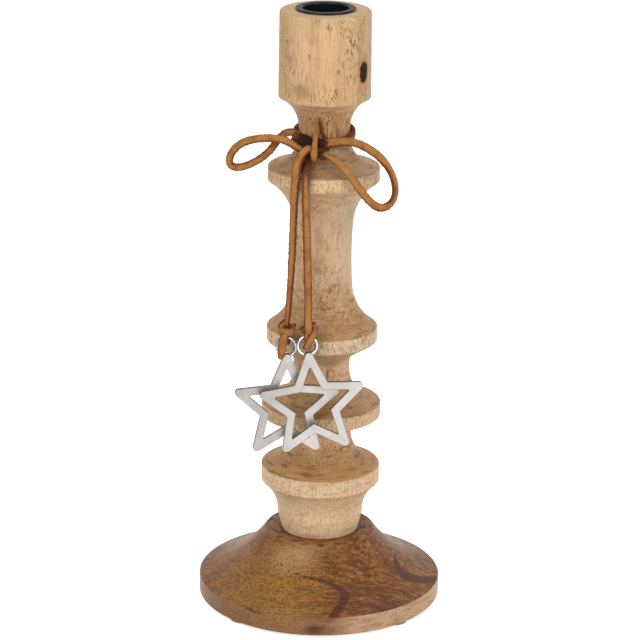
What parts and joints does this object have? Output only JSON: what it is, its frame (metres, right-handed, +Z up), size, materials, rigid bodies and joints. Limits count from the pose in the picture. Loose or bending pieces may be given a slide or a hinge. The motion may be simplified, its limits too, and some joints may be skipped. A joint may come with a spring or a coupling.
{
  "type": "candle holder",
  "caption": "Turned wooden holder for a taper candle: bell base, collared column, metal cup, a lace bow at the neck with star pendants on rings.",
  "frame": {"origin": "on the floor under the middle of the round base", "axes": "+Z up along the column, front with the bow and stars at -Y, +X to the right seen from the front"},
  "size_m": [0.121, 0.121, 0.301],
  "materials": {
    "base_wood": "satin, darker and uneven",
    "column_wood": "satin, light with fine grain",
    "cup_metal": "gloss black",
    "screw_steel": "plain",
    "felt": "felt",
    "lace_leather": "soft, fuzzy edges",
    "ring_metal": "bright",
    "star_metal": "satin"
  },
  "bodies": {
    "holder": {"base": "base_wood", "column": "column_wood", "candle_cup": "cup_metal", "base_screw": "screw_steel", "felt_pads": "felt", "neck_wrap": "lace_leather", "bow_knot": "lace_leather", "left_loop": "lace_leather", "right_loop": "lace_leather", "left_tail": "lace_leather", "right_tail": "lace_leather", "left_tail_knot": "lace_leather", "right_tail_knot": "lace_leather"},
    "left_ring": {"left_ring": "ring_metal"},
    "right_ring": {"right_ring": "ring_metal"},
    "left_star": {"left_star": "star_metal"},
    "right_star": {"right_star": "star_metal"}
  },
  "joints": [
    {"name": "left_ring_swing", "type": "hinge", "parent": "holder", "child": "left_ring", "pos_m": [-0.01713, -0.02749, 0.14383], "axis": [0.1385, -0.9857, 0.0958], "range_deg": [-10, 10]},
    {"name": "left_star_swing", "type": "hinge", "parent": "left_ring", "child": "left_star", "pos_m": [-0.01707, -0.02793, 0.1392], "axis": [0.1385, -0.9857, 0.0958], "range_deg": [-25, 25]},
    {"name": "right_ring_swing", "type": "hinge", "parent": "holder", "child": "right_ring", "pos_m": [-0.00693, -0.03133, 0.14593], "axis": [-0.9903, -0.1392, 0], "range_deg": [0, 60]},
    {"name": "right_star_swing", "type": "hinge", "parent": "right_ring", "child": "right_star", "pos_m": [-0.00687, -0.03177, 0.1413], "axis": [0.1385, -0.9857, 0.0958], "range_deg": [-25, 25]}
  ]
}
